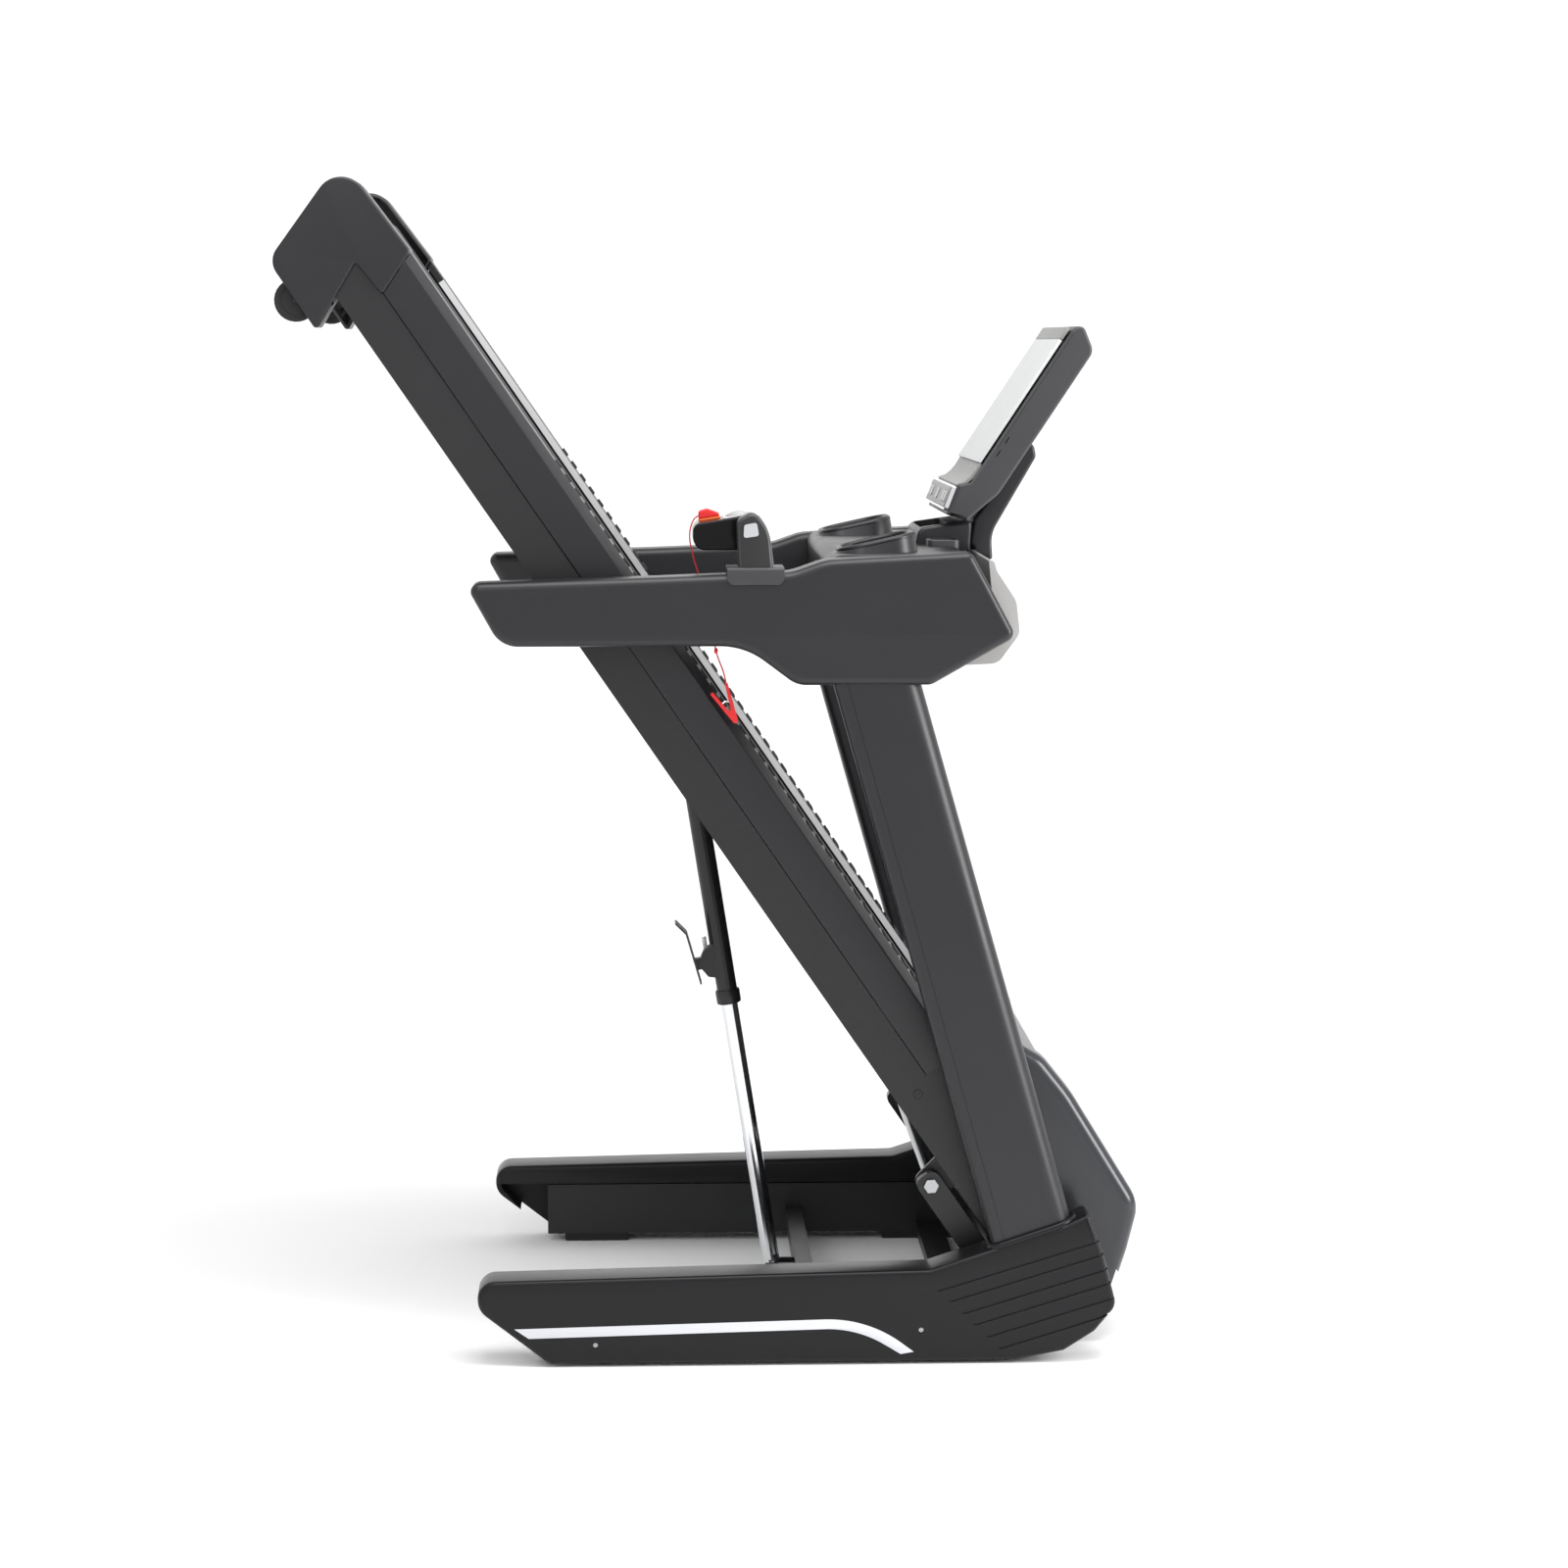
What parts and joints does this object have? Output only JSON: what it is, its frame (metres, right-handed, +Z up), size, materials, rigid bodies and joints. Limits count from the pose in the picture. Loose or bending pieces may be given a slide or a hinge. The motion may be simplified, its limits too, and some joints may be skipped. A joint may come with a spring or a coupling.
{
  "type": "treadmill",
  "caption": "Folding treadmill stored upright, with a telescopic strut, powered incline lift, side arms, tilted display console and a corded safety key.",
  "frame": {"origin": "on the floor, under the middle of the folded machine's outer box", "axes": "+Z up, +X towards the display end (the way a runner faces), +Y towards the runner's left"},
  "size_m": [1.1955, 0.867, 1.6267],
  "materials": {
    "coated_steel": "black powder coat, semi-gloss",
    "charcoal_plastic": "fine-grained charcoal moulding",
    "gloss_plastic": "polished black moulding",
    "grey_plastic": "mid grey satin moulding",
    "pale_plastic": "pale grey satin moulding",
    "rubber": "matt black rubber",
    "chrome": "polished chrome",
    "zinc_steel": "zinc-plated steel",
    "phenolic_board": "waxed resin-faced fibreboard",
    "belt_pvc": "fine-textured black belting",
    "screen_glass": "pale glossy screen window",
    "red_plastic": "bright red moulding"
  },
  "bodies": {
    "base": {"base_frame": "coated_steel", "base_cover_right": "charcoal_plastic", "base_cover_left": "charcoal_plastic", "rear_foot_right": "rubber", "rear_foot_left": "rubber", "front_foot_right": "rubber", "front_foot_left": "rubber", "upright_right": "charcoal_plastic", "upright_left": "charcoal_plastic", "handrail_tube_right": "coated_steel", "handrail_tube_left": "coated_steel", "arm_cover_right": "charcoal_plastic", "arm_cover_left": "charcoal_plastic", "key_pod_bracket": "grey_plastic", "key_pod": "gloss_plastic", "pulse_plate": "chrome", "console_tray": "charcoal_plastic", "console_back_cover": "pale_plastic", "display_neck": "gloss_plastic", "display_back": "charcoal_plastic", "display_glass": "screen_glass", "keypad_panel": "grey_plastic", "strut_pin": "zinc_steel"},
    "fold_shaft": {"fold_shaft": "zinc_steel"},
    "lift_frame": {"lift_frame": "coated_steel", "incline_shaft": "zinc_steel"},
    "deck": {"deck_frame": "coated_steel", "foot_rail_right": "charcoal_plastic", "foot_rail_left": "charcoal_plastic", "end_cap_right": "charcoal_plastic", "end_cap_left": "charcoal_plastic", "running_board": "phenolic_board", "running_belt": "belt_pvc", "motor_hood": "charcoal_plastic", "motor_pan": "charcoal_plastic", "drive_motor": "coated_steel", "drive_belt": "rubber", "incline_motor": "zinc_steel", "power_inlet": "gloss_plastic"},
    "incline_screw": {"incline_screw": "chrome"},
    "strut_rod": {"strut_rod": "chrome"},
    "strut_tube": {"strut_tube": "coated_steel"},
    "latch_pedal": {"latch_pedal": "grey_plastic"},
    "safety_key": {"safety_key": "red_plastic", "safety_cord": "red_plastic", "safety_clip": "red_plastic"},
    "pod_button": {"pod_button": "pale_plastic"},
    "power_switch": {"power_switch": "red_plastic"},
    "front_roller": {"front_roller": "zinc_steel"},
    "rear_roller": {"rear_roller": "zinc_steel"},
    "motor_pulley": {"motor_pulley": "zinc_steel"},
    "transport_wheel_right": {"transport_wheel_right": "rubber"},
    "transport_wheel_left": {"transport_wheel_left": "rubber"},
    "deck_wheel_right": {"deck_wheel_right": "rubber"},
    "deck_wheel_left": {"deck_wheel_left": "rubber"},
    "incline_down_button": {"incline_down_button": "pale_plastic"},
    "incline_up_button": {"incline_up_button": "pale_plastic"},
    "start_stop_button": {"start_stop_button": "pale_plastic"},
    "speed_down_button": {"speed_down_button": "pale_plastic"},
    "speed_up_button": {"speed_up_button": "pale_plastic"}
  },
  "joints": [
    {"name": "deck_fold", "type": "hinge", "parent": "base", "child": "fold_shaft", "pos_m": [0.42515, 0, 0.051], "axis": [0, -1, 0], "range_deg": [0, 55.5]},
    {"name": "incline", "type": "hinge", "parent": "fold_shaft", "child": "lift_frame", "pos_m": [0.42515, 0, 0.051], "axis": [0, 1, 0], "range_deg": [0, 40]},
    {"name": "deck_tilt", "type": "hinge", "parent": "lift_frame", "child": "deck", "pos_m": [0.30128, 0, 0.23124], "axis": [0, -1, 0], "range_deg": [0, 46]},
    {"name": "incline_screw_travel", "type": "slide", "parent": "deck", "child": "incline_screw", "axis": [-0.8241, 0, -0.5664], "range_m": [0, 0.155]},
    {"name": "strut_swing", "type": "hinge", "parent": "base", "child": "strut_rod", "pos_m": [0.09215, 0, 0.036], "axis": [0, -1, 0], "range_deg": [0, 74.1]},
    {"name": "strut_slide", "type": "slide", "parent": "strut_rod", "child": "strut_tube", "axis": [-0.1578, 0, 0.9875], "range_m": [-0.2286, 0]},
    {"name": "latch_pedal_press", "type": "hinge", "parent": "strut_tube", "child": "latch_pedal", "pos_m": [-0.01165, 0, 0.49538], "axis": [0, 1, 0], "range_deg": [0, 10], "stiffness_Nm_per_rad": 3},
    {"name": "transport_wheel_right_spin", "type": "hinge", "parent": "base", "child": "transport_wheel_right", "pos_m": [0.46215, -0.4155, 0.043], "axis": [0, 1, 0], "continuous": true},
    {"name": "transport_wheel_left_spin", "type": "hinge", "parent": "base", "child": "transport_wheel_left", "pos_m": [0.46215, 0.4155, 0.043], "axis": [0, 1, 0], "continuous": true},
    {"name": "deck_wheel_right_spin", "type": "hinge", "parent": "deck", "child": "deck_wheel_right", "pos_m": [-0.56744, -0.332, 1.45939], "axis": [0, 1, 0], "continuous": true},
    {"name": "deck_wheel_left_spin", "type": "hinge", "parent": "deck", "child": "deck_wheel_left", "pos_m": [-0.56744, 0.332, 1.45939], "axis": [0, 1, 0], "continuous": true},
    {"name": "front_roller_spin", "type": "hinge", "parent": "deck", "child": "front_roller", "pos_m": [0.37729, 0, 0.3069], "axis": [0, 1, 0], "continuous": true},
    {"name": "rear_roller_spin", "type": "hinge", "parent": "deck", "child": "rear_roller", "pos_m": [-0.48081, 0, 1.55545], "axis": [0, 1, 0], "continuous": true},
    {"name": "motor_pulley_spin", "type": "hinge", "parent": "deck", "child": "motor_pulley", "pos_m": [0.45283, -0.283, 0.17316], "axis": [0, 1, 0], "continuous": true},
    {"name": "incline_down_button_press", "type": "slide", "parent": "base", "child": "incline_down_button", "axis": [0.9323, 0, -0.3616], "range_m": [0, 0.001], "stiffness_N_per_m": 400},
    {"name": "incline_up_button_press", "type": "slide", "parent": "base", "child": "incline_up_button", "axis": [0.9323, 0, -0.3616], "range_m": [0, 0.001], "stiffness_N_per_m": 400},
    {"name": "start_stop_button_press", "type": "slide", "parent": "base", "child": "start_stop_button", "axis": [0.9323, 0, -0.3616], "range_m": [0, 0.001], "stiffness_N_per_m": 400},
    {"name": "speed_down_button_press", "type": "slide", "parent": "base", "child": "speed_down_button", "axis": [0.9323, 0, -0.3616], "range_m": [0, 0.001], "stiffness_N_per_m": 400},
    {"name": "speed_up_button_press", "type": "slide", "parent": "base", "child": "speed_up_button", "axis": [0.9323, 0, -0.3616], "range_m": [0, 0.001], "stiffness_N_per_m": 400},
    {"name": "pod_button_press", "type": "slide", "parent": "base", "child": "pod_button", "axis": [0.1594, 0, -0.9872], "range_m": [0, 0.0015], "stiffness_N_per_m": 400},
    {"name": "safety_key_pull", "type": "slide", "parent": "base", "child": "safety_key", "axis": [-0.1594, 0, 0.9872], "range_m": [0, 0.02]},
    {"name": "power_switch_rock", "type": "hinge", "parent": "deck", "child": "power_switch", "pos_m": [0.51342, -0.176, 0.02673], "axis": [0, 1, 0], "range_deg": [0, 12]}
  ],
  "couplings": [
    {"joint": "deck_tilt", "follows": "incline", "ratio": 1.134},
    {"joint": "incline_screw_travel", "follows": "incline", "m_per_rad": 0.2206},
    {"joint": "strut_swing", "follows": "deck_fold", "ratio": 1.3326},
    {"joint": "strut_slide", "follows": "deck_fold", "m_per_rad": -0.2357},
    {"joint": "rear_roller_spin", "follows": "front_roller_spin", "ratio": 1},
    {"joint": "motor_pulley_spin", "follows": "front_roller_spin", "ratio": 1.882}
  ]
}
